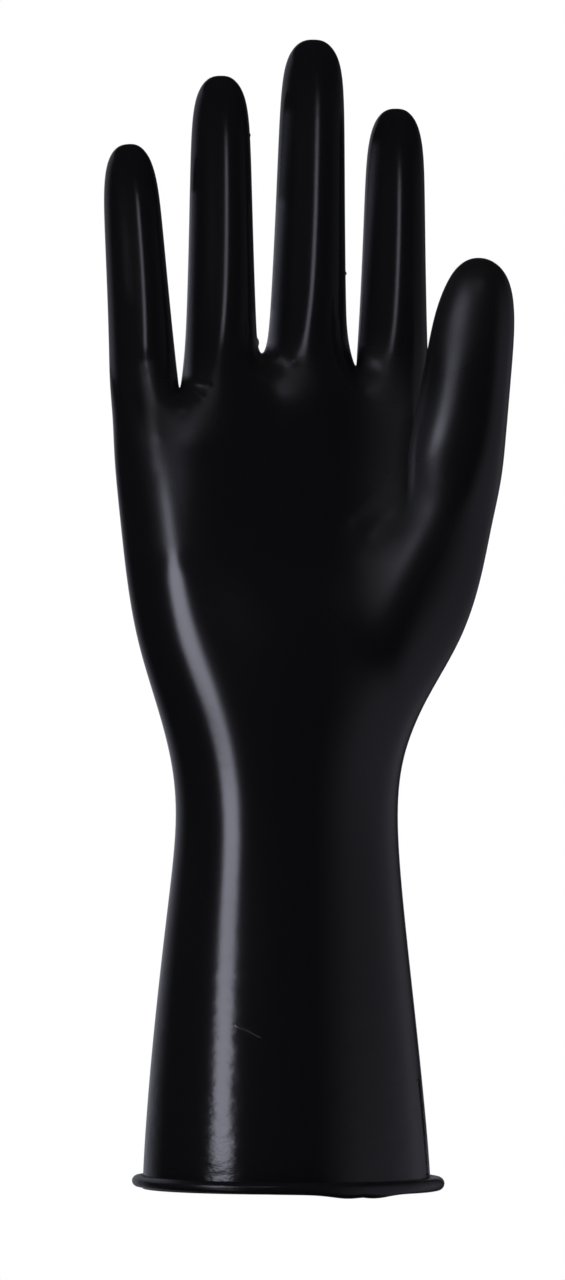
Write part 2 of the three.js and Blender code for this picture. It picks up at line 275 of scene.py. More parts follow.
FOLDS = {
    "ridge of the palm border": Fold((-39.4, 236.0), (-32.4, 182.0), 3.9, 0.24),
    "ridge at the little finger's foot": Fold((-39.2, 233.0), (-37.4, 217.0), 2.2, 0.2),
    "web ridge": Fold((31.5, 199.3), (20.5, 191.0), 2.8, 0.4),
    "hollow under the web": Fold((28.5, 191.0), (24.0, 186.5), 3.6, -0.4),
    "first crotch fold": Fold((-29.6, 231.8), (-22.4, 230.4), 0.9, 0.2),
    "first crotch, second fold": Fold((-26.6, 228.9), (-23.8, 227.0), 0.7, 0.1),
    "first crotch hollow": Fold((-28.4, 228.4), (-26.4, 228.2), 2.2, -0.3),
    "first crotch flank": Fold((-31.6, 236.0), (-30.2, 224.0), 1.2, 0.2),
    "second crotch fold": Fold((-3.6, 240.4), (1.0, 237.2), 2.2, 0.3),
    "second crotch hollow": Fold((-6.2, 237.6), (-3.4, 236.2), 2.6, -0.4),
    "second crotch flank": Fold((-9.8, 247.0), (-6.2, 232.6), 1.2, 0.2),
    "third crotch fold": Fold((22.4, 238.8), (26.0, 237.0), 2.4, 0.2),
    "third crotch hollow": Fold((22.0, 236.0), (25.0, 235.0), 2.4, -0.35),
    "third crotch flank": Fold((15.4, 249.0), (17.8, 230.4), 1.2, 0.2),
    "pleat above the rim": Fold((37.3, 31.5), (39.9, 5.5), 0.6, 0.3),
    "scuff on the cuff": Fold((-14.4, 48.2), (-7.2, 44.4), 0.25, 0.05),
}

# Patches of the palm side that are rubbed a little dull. height is the roughness that each adds.
DULL_PATCHES = {
    "dull palm border": Fold((-38.8, 230.0), (-33.2, 186.0), 5.0, 0.14),
    "dull under the thumb": Fold((22.0, 171.0), (35.0, 190.0), 11.0, 0.32),
    "dull round the web": Fold((31.5, 198.0), (20.0, 188.0), 5.0, 0.15),
    "dull thumb": Fold((38.0, 200.0), (51.0, 258.0), 12.0, 0.09),
    "dull thumb tip": Fold((48.5, 246.0), (51.5, 262.0), 9.0, 0.16),
    "dull at the first crotch": Fold((-30.0, 231.0), (-23.0, 229.0), 5.0, 0.13),
    "dull under the first crotch": Fold((-35.0, 221.0), (-24.0, 221.0), 6.0, 0.16),
    "dull under the second crotch": Fold((-5.0, 236.0), (4.0, 232.0), 6.0, 0.2),
    "dull under the third crotch": Fold((23.0, 235.0), (28.0, 232.0), 7.0, 0.3),
}

# Painted sheen: places that face the little finger's side, whose colour is lifted towards the glow's colour
# to stand in for reflected light and highlights. height is the share of the glow's colour that each adds.
PAINTED_SHEEN = {
    "painted sheen on the ring finger's edge": Fold((-29.4, 234.0), (-28.2, 285.0), 1.3, 0.15),
    "painted sheen on the middle finger's edge": Fold((-5.8, 243.0), (-3.6, 282.0), 1.9, 0.15),
    "painted sheen on the middle finger's top": Fold((-3.5, 284.0), (-1.6, 308.0), 1.8, 0.07),
    "painted sheen on the middle finger's foot": Fold((-6.4, 243.0), (-5.6, 251.0), 1.3, 0.2),
    "painted sheen on the palm beside the thumb": Fold((33.0, 221.0), (32.0, 204.0), 9.0, 0.012),
    # A painted highlight that joins the little finger's highlight to the palm border's highlight.
    "painted highlight on the palm's border": Fold((-40.3, 236.0), (-37.2, 207.0), 1.5, 0.022),
    "painted sheen on the index finger's edge": Fold((19.2, 243.0), (23.4, 299.0), 1.7, 0.13),
}


class Drip(NamedTuple):
    """A small drop of latex that dried on the wall. stretch is its height against its width."""

    x: float
    y: float
    z: float
    radius: float
    stretch: float


DRIPS = (
    Drip(-8.9, 1.5, 242.8, 0.9, 1.7),
    Drip(-10.9, 2.5, 302.3, 0.5, 1.2),
    Drip(16.6, 2.5, 262.7, 0.5, 1.2),
    Drip(38.0, 0.0, 32.4, 0.5, 1.5),
)

# The rolled rim: points round its profile and steps round the cuff.
ROLL_POINTS = 16
ROLL_STEPS = 144
# The profile is spun as a circle of this radius, and each point is then brought in to its real place.
SPUN_RADIUS = 1.0
# The middle of the roll stands this many roll radii outside the mouth's circle.
ROLL_REACH = 0.97
# Where the film hangs below the roll, as turns round the cuff, and the angle over which it fades.
FILM_TURNS = (math.radians(-66), math.radians(-55))
FILM_FADES = math.radians(9)

# The pale tint of the studio's light, of the backdrop that the latex mirrors and of the painted sheen.
GLOW_COLOUR = (0.96, 0.965, 1.17, 1.0)


class GloveShellSettings(bpy.types.PropertyGroup):
    """The glove's wall."""

    wall: bpy.props.FloatProperty(
        name="Wall", description="Thickness of the latex", default=0.0012, min=0.0005, unit="LENGTH"
    )
    smoothing: bpy.props.IntProperty(
        name="Smoothing", description="Rounds of subdivision over the control cage", default=3, min=1, max=4
    )


class CuffBeadSettings(bpy.types.PropertyGroup):
    """The rolled rim."""

    thin: bpy.props.FloatProperty(
        name="Thin side", description="Roll's radius at the little finger", default=0.0016, unit="LENGTH"
    )
    thick: bpy.props.FloatProperty(
        name="Thick side", description="Roll's radius at the thumb's side", default=0.00195, unit="LENGTH"
    )
    rise: bpy.props.FloatProperty(
        name="Rise", description="How much higher the thin side sits", default=0.0012, unit="LENGTH"
    )
    film: bpy.props.FloatProperty(
        name="Film", description="Depth of the edge that hangs below the roll", default=0.0010, unit="LENGTH"
    )


class LatexSettings(bpy.types.PropertyGroup):
    """The finish of the latex."""

    colour: bpy.props.FloatVectorProperty(
        name="Colour",
        description="Colour of the latex",
        subtype="COLOR",
        size=3,
        default=(0.0033, 0.0033, 0.0040),
    )
    lining: bpy.props.FloatVectorProperty(
        name="Lining",
        description="Colour of the inside",
        subtype="COLOR",
        size=3,
        default=(0.010, 0.010, 0.011),
    )
    gloss: bpy.props.FloatProperty(
        name="Roughness",
        description="Roughness of the outside",
        subtype="FACTOR",
        default=0.14,
        min=0.0,
        max=1.0,
    )
    ripple: bpy.props.FloatProperty(
        name="Ripple", description="Height of the soft waves of the cuff", default=0.0002, unit="LENGTH"
    )


class StudioSettings(bpy.types.PropertyGroup):
    """Lights, floor and camera."""

    left_strip: bpy.props.FloatProperty(
        name="Left strip", description="Brightness of the tall soft light at the front left", default=5.0
    )
    high_strip: bpy.props.FloatProperty(
        name="High strip", description="Brightness of the high light that the fingers mirror", default=2.4
    )
    fill: bpy.props.FloatProperty(
        name="Fill", description="Brightness of the wide dim panel at the right", default=0.2
    )
    floor: bpy.props.FloatVectorProperty(
        name="Floor", description="Colour of the floor", subtype="COLOR", size=3, default=(0.9, 0.9, 0.9)
    )
    distance: bpy.props.FloatProperty(
        name="Camera distance", description="From the lens to the cuff's axis", default=3.4, unit="LENGTH"
    )
    lens: bpy.props.FloatProperty(
        name="Lens", description="Focal length in millimetres on a 36 mm sensor", default=333.8
    )


def ring_reach(count):
    """How far a regular control ring keeps its size once it is smoothed."""
    return 2 / 3 + math.cos(2 * math.pi / count) / 3


def bell(distance, width):
    """A smooth mound: 1 in the middle, fading to 0."""
    return math.exp(-((distance / width) ** 2))


def palm_lift(x, z):
    """How far the palm's pads stand out at a place, in millimetres."""
    return sum(m.lift * bell(x - m.x, m.wide) * bell(z - m.z, m.tall) for m in PALM_RELIEF)


def lean(z):
    """How far the hand has leant back at a height, in millimetres."""
    bending = min(max(z - LEAN_STARTS, 0), LEAN_EVEN - LEAN_STARTS)
    bent = bending * bending / (2 * (LEAN_EVEN - LEAN_STARTS))
    return HAND_LEAN * (bent + max(z - LEAN_EVEN, 0))


def body_ring(section):
    """Control points of one section, from the little finger's edge across the palm and back."""
    centre = (section.left + section.right) / 2
    reach = ring_reach(BODY_COLUMNS)
    half_width = (section.right - section.left) / 2 / reach
    ring = []
    for column in range(BODY_COLUMNS):
        turn = math.pi * (1 + 2 * column / BODY_COLUMNS)
        front = math.sin(turn) < 0
        x = centre + half_width * math.cos(turn)
        y = (section.front if front else section.back) / reach * math.sin(turn)
        if front:
            y += palm_lift(x, section.height) * math.sin(turn)
        ring.append(Vector((x, y, section.height)))
    for shift in THUMB_COLUMNS:
        ring[shift.column].x += shift.outward * (section.outer - section.right)
        ring[shift.column].y -= shift.forward * section.forward
    for point in THUMB_PAD:
        if point.height == section.height:
            ring[point.column] = Vector((point.x, point.y, point.height))
    return ring


def knuckle_ring():
    """Control points of the row where the fingers part, in the order of a body ring."""
    front = []
    for k in KNUCKLES:
        shift = KNUCKLE_TURN * k.front if k.name.endswith("finger") else 0.0
        front.append(Vector((k.x + shift, -k.front, k.z)))
    back = [Vector((k.x, k.back, k.z)) for k in KNUCKLES[1:-1]]
    return front + back[::-1]


def stall_ring(centre, run, half_width, half_depth, first_turn, slant):
    """Eight control points round a finger or the thumb, square to its run."""
    outer = Vector((1, 0, 0)) - run * run.x
    outer.normalize()
    back = run.cross(outer)
    reach = ring_reach(STALL_COLUMNS)
    inward = half_width / reach
    outward = math.sqrt(half_width**2 - (slant * half_depth) ** 2) / reach
    deep = half_depth / reach
    ring = []
    for i in range(STALL_COLUMNS):
        turn = first_turn + 2 * math.pi * i / STALL_COLUMNS
        across = outward if math.cos(turn) > 0 else inward
        sideways = across * math.cos(turn) + slant * deep * max(-math.sin(turn), 0.0)
        ring.append(centre + outer * sideways + back * (deep * math.sin(turn)))
    return ring


def closed_edges(bm, loop):
    """The edges of a closed loop of vertices, in order."""
    return [bm.edges.get((a, b)) for a, b in zip(loop, loop[1:] + loop[:1])]


def climb(bm, loop, places):
    """Extrudes a closed loop of vertices and puts the new ones in their places. Returns them in order."""
    made = bmesh.ops.extrude_edge_only(bm, edges=closed_edges(bm, loop))["geom"]
    new = {item for item in made if isinstance(item, bmesh.types.BMVert)}
    upper = []
    for vert, place in zip(loop, places):
        above = next(edge.other_vert(vert) for edge in vert.link_edges if edge.other_vert(vert) in new)
        above.co = place * MM
        upper.append(above)
    return upper


def chain(bm, start, places, end):
    """Joins two vertices by edges through new vertices. Returns the new ones."""
    new = [bmesh.ops.create_vert(bm, co=Vector(place) * MM)["vert"][0] for place in places]
    row = [start, *new, end]
    for a, b in zip(row, row[1:]):
        bmesh.ops.contextual_create(bm, geom=[a, b])
    return new


def close_tip(bm, loop, place):
    """Closes a loop of eight with four faces round a vertex in the middle."""
    cap = bmesh.ops.contextual_create(bm, geom=closed_edges(bm, loop))["faces"]
    middle = bmesh.ops.poke(bm, faces=cap)["verts"][0]
    middle.co = place * MM
    spokes = [bm.edges.get((middle, vert)) for vert in loop[::2]]
    bmesh.ops.dissolve_edges(bm, edges=spokes)


def raise_finger(bm, loop, finger):
    """Extrudes a finger ring by ring from the loop at its foot and closes its tip."""
    root = Vector(finger.root)
    tip = Vector(finger.tip)
    length = (tip - root).length
    run = (tip - root) / length
    stations = [(share * length, width, turned) for share, width, turned in FINGER_RINGS]
    stations += [(length - below, width, turned) for below, width, turned in TIP_RINGS]
    for along, width, turned in stations:
        half_width = finger.half_width * width
        half_depth = half_width * FINGER_FLATNESS
        places = stall_ring(root + run * along, run, half_width, half_depth, FINGER_TURN, PAD_TURN * turned)
        loop = climb(bm, loop, places)
    close_tip(bm, loop, tip)


def raise_thumb(bm, loop):
    """Extrudes the thumb ring by ring from the loop at its root and closes its tip."""
    centres = [Vector((ring.x, ring.y, ring.z)) for ring in THUMB_RINGS]
    last = len(centres) - 1
    for i, ring in enumerate(THUMB_RINGS):
        run = (centres[min(i + 1, last)] - centres[max(i - 1, 0)]).normalized()
        slant = PAD_TURN * ring.turned
        places = stall_ring(centres[i], run, ring.half_width, ring.half_depth, THUMB_TURN, slant)
        loop = climb(bm, loop, places)
    close_tip(bm, loop, centres[last] + Vector((0, 0, THUMB_TIP_RISE)))


def glove_cage():
    """The control cage, extruded ring by ring from the cuff's mouth."""
    bm = bmesh.new()
    loop = bmesh.ops.create_circle(bm, segments=BODY_COLUMNS, radius=SECTIONS[0].right * MM)["verts"]
    for vert, place in zip(loop, body_ring(SECTIONS[0])):
        vert.co = place * MM
    for section in SECTIONS[1 : THUMB_LEAVES_AT + 1]:
        loop = climb(bm, loop, body_ring(section))
    web = chain(bm, loop[THUMB_FRONT], THUMB_WEB, loop[THUMB_BACK])
    raise_thumb(bm, loop[THUMB_FRONT : THUMB_BACK + 1] + web[::-1])
    loop = loop[: THUMB_FRONT + 1] + web + loop[THUMB_BACK:]
    for section in SECTIONS[THUMB_LEAVES_AT + 1 :]:
        loop = climb(bm, loop, body_ring(section))
    loop = climb(bm, loop, knuckle_ring())
    floors = [loop[0]]
    for k, place in enumerate(CROTCH_FLOORS):
        front = 2 * k + 3
        floors += chain(bm, loop[front], (place,), loop[BODY_COLUMNS - front])
    floors.append(loop[BODY_COLUMNS // 2])
    for k, finger in enumerate(FINGERS):
        first = 2 * k + 1
        last = first + 2
        front = loop[first : last + 1]
        back = loop[BODY_COLUMNS - last : BODY_COLUMNS - first + 1]
        raise_finger(bm, front + [floors[k + 1]] + back + [floors[k]], finger)
    for vert in bm.verts:
        vert.co.y += lean(vert.co.z / MM) * MM
    bmesh.ops.recalc_face_normals(bm, faces=bm.faces)
    return bm


def add_object(name, bm, *materials):
    """A smooth shaded mesh object at the origin. The bmesh is used up."""
    mesh = bpy.data.meshes.new(name)
    bm.to_mesh(mesh)
    bm.free()
    mesh.shade_smooth()
    for material in materials:
        mesh.materials.append(material)
    made = bpy.data.objects.new(name, mesh)
    bpy.context.scene.collection.objects.link(made)
    return made


def smoothed(bm, levels):
    """The cage after that many rounds of Catmull-Clark subdivision, as a new bmesh."""
    cage = add_object("glove_cage", bm)
    subdivision = cage.modifiers.new("Subdivision", "SUBSURF")
    subdivision.levels = levels
    subdivision.render_levels = levels
    mesh = bpy.data.meshes.new_from_object(cage.evaluated_get(bpy.context.evaluated_depsgraph_get()))
    fine = bmesh.new()
    fine.from_mesh(mesh)
    bpy.data.meshes.remove(mesh)
    bpy.data.meshes.remove(cage.data)
    return fine


def node(tree, kind, label="", inputs=None, **values):
    """A new shader node. values are its settings. Each input is a value, or the socket that feeds it."""
    made = tree.nodes.new(kind)
    made.label = label
    for name, value in values.items():
        setattr(made, name, value)
    for name, value in (inputs or {}).items():
        if isinstance(value, bpy.types.NodeSocket):
            tree.links.new(value, made.inputs[name])
        else:
            made.inputs[name].default_value = value
    return made


def maths(tree, label, operation, *inputs, **values):
    """The result of a maths node."""
    made = node(tree, "ShaderNodeMath", label, dict(enumerate(inputs)), operation=operation, **values)
    return made.outputs["Value"]


def vector_maths(tree, label, operation, *inputs):
    """The result of a vector maths node: a number for a dot product or a distance, else a vector."""
    made = node(tree, "ShaderNodeVectorMath", label, dict(enumerate(inputs)), operation=operation)
    return made.outputs["Value" if operation in ("DOT_PRODUCT", "DISTANCE") else "Vector"]


def smooth_range(tree, label, **inputs):
    """A value carried from one range to another, with soft ends."""
    sockets = {name.replace("_", " ").title(): value for name, value in inputs.items()}
    made = node(tree, "ShaderNodeMapRange", label, sockets, interpolation_type="SMOOTHSTEP")
    return made.outputs["Result"]


def cleared_nodes(owner):
    """The empty node tree of a new material or world."""
    owner.use_nodes = True
    owner.node_tree.nodes.clear()
    return owner.node_tree


def node_group(name, inputs, outputs):
    """A new node group. inputs gives each default, or None for a vector."""
    group = bpy.data.node_groups.new(name, "ShaderNodeTree")
    for label, value in inputs.items():
        kind = "NodeSocketVector" if value is None else "NodeSocketFloat"
        socket = group.interface.new_socket(name=label, in_out="INPUT", socket_type=kind)
        if value is not None:
            socket.default_value = value
    for label in outputs:
        group.interface.new_socket(name=label, in_out="OUTPUT", socket_type="NodeSocketFloat")
    return group


# What the dipped latex group is given: noise scales in turns a metre, and heights in metres.
LATEX_INPUTS = {
    "Vector": None,
    "Peel Scale": 900.0,
    "Peel Height": 0.000004,
    "Ripple Scale": 110.0,
    "Ripple Height": 0.0001,
    "Ripple Top": 0.100,
    "Roughness": 0.17,
    "Roughness Spread": 0.04,
}
LATEX_IOR = 1.5
LINING_ROUGHNESS = 0.6
PEEL_DETAIL = 2.0
RIPPLE_STRETCH = (1.0, 1.0, 2.2)
RIPPLE_DETAIL = 3.0
# The share of the ripple that is left above its top.
RIPPLE_LEFT = 0.12
DULLING_SCALE = 28.0
DULLING_DETAIL = 3.0


def latex_group():
    """Height and gloss of dipped latex: faint orange peel everywhere and soft waves low on the cuff."""
    name = "dipped_latex"
    if name in bpy.data.node_groups:
        return bpy.data.node_groups[name]
    group = node_group(name, LATEX_INPUTS, ("Height", "Roughness"))
    given = node(group, "NodeGroupInput").outputs

    sockets = {"Vector": given["Vector"], "Scale": given["Peel Scale"], "Detail": PEEL_DETAIL}
    peel = node(group, "ShaderNodeTexNoise", "orange peel", sockets)
    peel_height = maths(group, "peel height", "MULTIPLY", peel.outputs["Fac"], given["Peel Height"])

    sockets = {"Vector": given["Vector"], "Scale": RIPPLE_STRETCH}
    stretch = node(group, "ShaderNodeMapping", "waves run round the cuff", sockets)
    sockets = {"Vector": stretch.outputs["Vector"], "Scale": given["Ripple Scale"], "Detail": RIPPLE_DETAIL}
    ripple = node(group, "ShaderNodeTexNoise", "ripple", sockets)
    where = node(group, "ShaderNodeSeparateXYZ", "height on the glove", {"Vector": given["Vector"]})
    low = smooth_range(
        group,
        "low on the cuff",
        value=where.outputs["Z"],
        from_min=0.0,
        from_max=given["Ripple Top"],
        to_min=1.0,
        to_max=RIPPLE_LEFT,
    )
    ripple_share = maths(group, "ripple share", "MULTIPLY", ripple.outputs["Fac"], low)
    ripple_height = maths(group, "ripple height", "MULTIPLY", ripple_share, given["Ripple Height"])
    height = maths(group, "height", "ADD", peel_height, ripple_height)

    sockets = {"Vector": given["Vector"], "Scale": DULLING_SCALE, "Detail": DULLING_DETAIL}
    dulling = node(group, "ShaderNodeTexNoise", "dulling", sockets)
    spread = maths(group, "spread", "MULTIPLY", dulling.outputs["Fac"], given["Roughness Spread"])
    roughness = maths(group, "roughness", "ADD", spread, given["Roughness"])
    node(group, "NodeGroupOutput", "", {"Height": height, "Roughness": roughness})
    return group


FOLD_INPUTS = {"Vector": None, "Start": None, "End": None, "Width": 0.001, "Fold Height": 0.0003}
# Folds fade out round the glove's edge, from the middle plane to this far behind it.
FOLD_FADES = 0.008


def fold_group():
    """Height of one soft ridge along a line, seen from the palm side, and none on the back."""
    name = "soft_fold"
    if name in bpy.data.node_groups:
        return bpy.data.node_groups[name]
    group = node_group(name, FOLD_INPUTS, ("Height",))
    given = node(group, "NodeGroupInput").outputs

    flat = vector_maths(group, "seen from the front", "MULTIPLY", given["Vector"], (1.0, 0.0, 1.0))
    here = vector_maths(group, "from the start", "SUBTRACT", flat, given["Start"])
    line = vector_maths(group, "whole line", "SUBTRACT", given["End"], given["Start"])
    ahead = vector_maths(group, "along the line", "DOT_PRODUCT", here, line)
    square = vector_maths(group, "length squared", "DOT_PRODUCT", line, line)
    share = maths(group, "share of the line", "DIVIDE", ahead, square, use_clamp=True)
    sockets = {0: line, "Scale": share}
    nearest = node(group, "ShaderNodeVectorMath", "nearest point", sockets, operation="SCALE")
    away = vector_maths(group, "distance", "DISTANCE", here, nearest.outputs["Vector"])
    widths = maths(group, "distance in widths", "DIVIDE", away, given["Width"])
    squared = maths(group, "squared", "MULTIPLY", widths, widths)
    falling = maths(group, "falling", "MULTIPLY", squared, -1.0)
    ridge = maths(group, "ridge", "EXPONENT", falling)

    split = node(group, "ShaderNodeSeparateXYZ", "depth in the glove", {"Vector": given["Vector"]})
    front = smooth_range(group, "palm side", value=split.outputs["Y"], from_min=FOLD_FADES, from_max=0.0)
    shown = maths(group, "palm side only", "MULTIPLY", ridge, front)
    height = maths(group, "height", "MULTIPLY", shown, given["Fold Height"])
    node(group, "NodeGroupOutput", "", {"Height": height})
    return group


def add_folds(tree, place, total, folds, unit):
    """Adds soft folds of the palm side to a height, a roughness or the strength of a painted sheen. Returns the
    socket of the sum.
    """
    for label, fold in folds.items():
        sockets = {
            "Vector": place,
            "Start": (fold.start[0] * MM, 0.0, fold.start[1] * MM),
            "End": (fold.end[0] * MM, 0.0, fold.end[1] * MM),
            "Width": fold.width * MM,
            "Fold Height": fold.height * unit,
        }
        ridge = node(tree, "ShaderNodeGroup", label, sockets, node_tree=fold_group())
        total = maths(tree, "with " + label, "ADD", total, ridge.outputs["Height"])
    return total


def latex_material(name, colour, folded=False, **inputs):
    """Glossy latex. inputs are values of the dipped latex group. folded adds the palm side's folds, its dull
    patches and its painted sheen.
    """
    material = bpy.data.materials.new(name)
    tree = cleared_nodes(material)
    place = node(tree, "ShaderNodeTexCoord").outputs["Object"]
    sockets = {label.replace("_", " ").title(): value for label, value in inputs.items()}
    sockets["Vector"] = place
    skin = node(tree, "ShaderNodeGroup", "dipped latex", sockets, node_tree=latex_group())
    base = (*colour, 1.0)
    height = skin.outputs["Height"]
    roughness = skin.outputs["Roughness"]
    if folded:
        height = add_folds(tree, place, height, FOLDS, MM)
        roughness = add_folds(tree, place, roughness, DULL_PATCHES, 1.0)
        # Painted sheen: the base colour is lifted towards the glow's colour at listed places, standing in for
        # reflected light and highlights.
        none = node(tree, "ShaderNodeValue", "no painted sheen").outputs["Value"]
        none.default_value = 0.0
        painted_sheen = add_folds(tree, place, none, PAINTED_SHEEN, 1.0)
        base = vector_maths(tree, "latex with painted sheen", "MULTIPLY_ADD", painted_sheen, GLOW_COLOUR[:3], colour)
    bump = node(tree, "ShaderNodeBump", "folds and peel", {"Distance": 1.0, "Height": height})
    sockets = {"Base Color": base, "IOR": LATEX_IOR, "Roughness": roughness, "Normal": bump.outputs["Normal"]}
    shader = node(tree, "ShaderNodeBsdfPrincipled", "latex", sockets)
    node(tree, "ShaderNodeOutputMaterial", "", {"Surface": shader.outputs["BSDF"]})
    return material


def plain_material(name, colour, roughness):
    """An even finish, for the inside of the glove and the floor."""
    material = bpy.data.materials.new(name)
    material.use_nodes = True
    shader = material.node_tree.nodes["Principled BSDF"]
    shader.inputs["Base Color"].default_value = (*colour, 1.0)
    shader.inputs["Roughness"].default_value = roughness
    return material


class GLOVE_OT_add_shell(bpy.types.Operator):
    """Add the glove's wall, from the cuff's mouth to the fingertips, and the dried drops on it"""

    bl_idname = "glove.add_shell"
    bl_label = "Glove Wall"

    def execute(self, context):
        shape = context.scene.glove_shell_settings
        finish = context.scene.latex_settings
        outside = latex_material(
            "shell_latex",
            finish.colour,
            folded=True,
            ripple_height=finish.ripple,
            roughness=finish.gloss,
            roughness_spread=0.04,
        )
        inside = plain_material("shell_lining", finish.lining, LINING_ROUGHNESS)
        fine = smoothed(glove_cage(), shape.smoothing)
        shell = add_object("glove_wall", fine, outside, inside)
        wall = shell.modifiers.new("Wall", "SOLIDIFY")
        wall.thickness = shape.wall
        wall.offset = -1.0
        wall.material_offset = 1
        wall.material_offset_rim = 0
        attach(shell, "root")
        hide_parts("glove_shell")

        drips = bmesh.new()
        for drip in DRIPS:
            stretch = Matrix.Diagonal((1.0, 1.0, drip.stretch, 1.0))
            place = Matrix.Translation(Vector((drip.x, drip.y, drip.z)) * MM)
            bmesh.ops.create_icosphere(drips, subdivisions=3, radius=drip.radius * MM, matrix=place @ stretch)
        nubs = add_object("drip_nubs", drips, outside)
        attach(nubs, "root")
        return {"FINISHED"}


class GLOVE_OT_add_bead(bpy.types.Operator):
    """Add the rolled rim round the cuff's mouth"""

    bl_idname = "glove.add_bead"
    bl_label = "Rolled Rim"

    def execute(self, context):
        shape = context.scene.cuff_bead_settings
        finish = context.scene.latex_settings
        material = latex_material(
            "bead_latex",
            finish.colour,
            ripple_height=finish.ripple,
            ripple_scale=160.0,
            roughness=0.22,
            roughness_spread=0.08,
        )
        wall_radius = SECTIONS[0].front * MM
        bm = bmesh.new()
        profile = bmesh.ops.create_circle(bm, segments=ROLL_POINTS, radius=SPUN_RADIUS)
        for vert in profile["verts"]:
            vert.co = Vector((wall_radius + SPUN_RADIUS + vert.co.x, 0.0, vert.co.y))
        bmesh.ops.spin(
            bm,
            geom=bm.verts[:] + bm.edges[:],
            cent=(0, 0, 0),
            axis=(0, 0, 1),
            angle=2 * math.pi,
            steps=ROLL_STEPS,
            use_merge=True,
        )
        for vert in bm.verts:
            turn = math.atan2(vert.co.y, vert.co.x)
            across = math.hypot(vert.co.x, vert.co.y) - wall_radius - SPUN_RADIUS
            thumb_side = (1 + math.cos(turn)) / 2
            roll = shape.thin + (shape.thick - shape.thin) * thumb_side
            radius = wall_radius + roll * (ROLL_REACH + across)
            height = roll * (1 + vert.co.z) + shape.rise * (1 - thumb_side)
            if vert.co.z < 0:
                film = max(bell(turn - middle, FILM_FADES) for middle in FILM_TURNS)
                height += shape.film * vert.co.z * film
            vert.co = Vector((radius * math.cos(turn), radius * math.sin(turn), height))
        bmesh.ops.recalc_face_normals(bm, faces=bm.faces)
        bead = add_object("cuff_roll", bm, material)
        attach(bead, "root")
        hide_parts("cuff_bead")
        return {"FINISHED"}


def stage_object(name, bm, material):
    """A piece of the studio, which isn't part of the glove."""
    made = add_object(name, bm, material)
    return made


class LightPanel(NamedTuple):
    """An upright light panel, bent round the cuff's axis. Azimuth 0 is the camera's side, 90 the thumb's.

    The soft values are the shares of the panel's width or height over which an edge fades in, and lean is how
    many degrees further round the axis its top edge is than its bottom edge.
    """

    name: str
    start: float
    end: float
    distance: float
    bottom: float
    top: float
    strength: float
    soft_start: float
    soft_end: float
    soft_bottom: float
    soft_top: float
    lean: float = 0.0


def light_panels(studio):
    """The studio's panels. The flag is a dark card that keeps the left strip off the little finger's foot."""
    left = studio.left_strip
    return (
        LightPanel("left_strip", -63, -43, 0.9, 0.0, 0.42, left, 0.22, 0.22, 0.25, 0.15),
        LightPanel("low_strip", -65, -40, 0.9, -1.0, 0.05, 0.14 * left, 0.35, 0.35, 0.3, 0.1),
        LightPanel("slanting_strip", -56, -46, 0.9, 0.32, 0.54, 0.5 * left, 0.4, 0.4, 0.25, 0.2, 36),
        LightPanel("high_strip", -24, -12, 0.9, 0.50, 0.66, 1.1 * studio.high_strip, 0.35, 0.35, 0.35, 0.15),
        LightPanel("right_fill", 20, 165, 1.0, -1.2, 0.90, 1.25 * studio.fill, 0.33, 0.3, 0.15, 0.5),
        LightPanel("flag", -85, -54, 0.10, 0.211, 0.264, 0.0, 0.1, 0.1, 0.1, 0.1),
        LightPanel("left_bounce", -178, -95, 1.0, 0.25, 0.90, 1.5 * studio.fill, 0.25, 0.3, 0.05, 0.2),
    )


def glow_material(panel):
    """Light that fades towards the panel's edges, on its own UV map."""
    material = bpy.data.materials.new(panel.name)
    tree = cleared_nodes(material)
    uv = node(tree, "ShaderNodeUVMap", uv_map="panel")
    split = node(tree, "ShaderNodeSeparateXYZ", "across and up", {"Vector": uv.outputs["UV"]})
    edges = (
        ("X", 0.0, panel.soft_start),
        ("X", 1.0, 1.0 - panel.soft_end),
        ("Y", 0.0, panel.soft_bottom),
        ("Y", 1.0, 1.0 - panel.soft_top),
    )
    power = panel.strength
    for axis, dark, bright in edges:
        edge = smooth_range(tree, "soft edge", value=split.outputs[axis], from_min=dark, from_max=bright)
        power = maths(tree, "power", "MULTIPLY", edge, power)
    glow = node(tree, "ShaderNodeEmission", "glow", {"Color": GLOW_COLOUR, "Strength": power})
    node(tree, "ShaderNodeOutputMaterial", "", {"Surface": glow.outputs["Emission"]})
    return material


# Faces along a panel's width, and as many up its height.
PANEL_STEPS = 16


def add_light_panel(panel):
    """A grid bent round the cuff's axis. It lights the glove and shows only as a reflection."""
    bm = bmesh.new()
    layer = bm.loops.layers.uv.new("panel")
    bmesh.ops.create_grid(bm, x_segments=PANEL_STEPS, y_segments=PANEL_STEPS, size=0.5)
    for face in bm.faces:
        for loop in face.loops:
            loop[layer].uv = (loop.vert.co.x + 0.5, loop.vert.co.y + 0.5)
    for vert in bm.verts:
        across = vert.co.x + 0.5
        up = vert.co.y + 0.5
        turn = math.radians(panel.start + (panel.end - panel.start) * across + panel.lean * up)
        height = panel.bottom + (panel.top - panel.bottom) * up
        vert.co = (panel.distance * math.sin(turn), -panel.distance * math.cos(turn), height)
    shade = stage_object(panel.name, bm, glow_material(panel))
    shade.visible_camera = False
    shade.visible_shadow = False


# The soft glow behind the glove, a little to its left: only surfaces seen edge-on mirror it.
BACKDROP_MIDDLE = (-0.259, 0.966, 0.0)
BACKDROP_STARTS = 0.68
BACKDROP_FADING = 2.0
BACKDROP_STRENGTH = 0.3
WHITE = (1.0, 1.0, 1.0, 1.0)


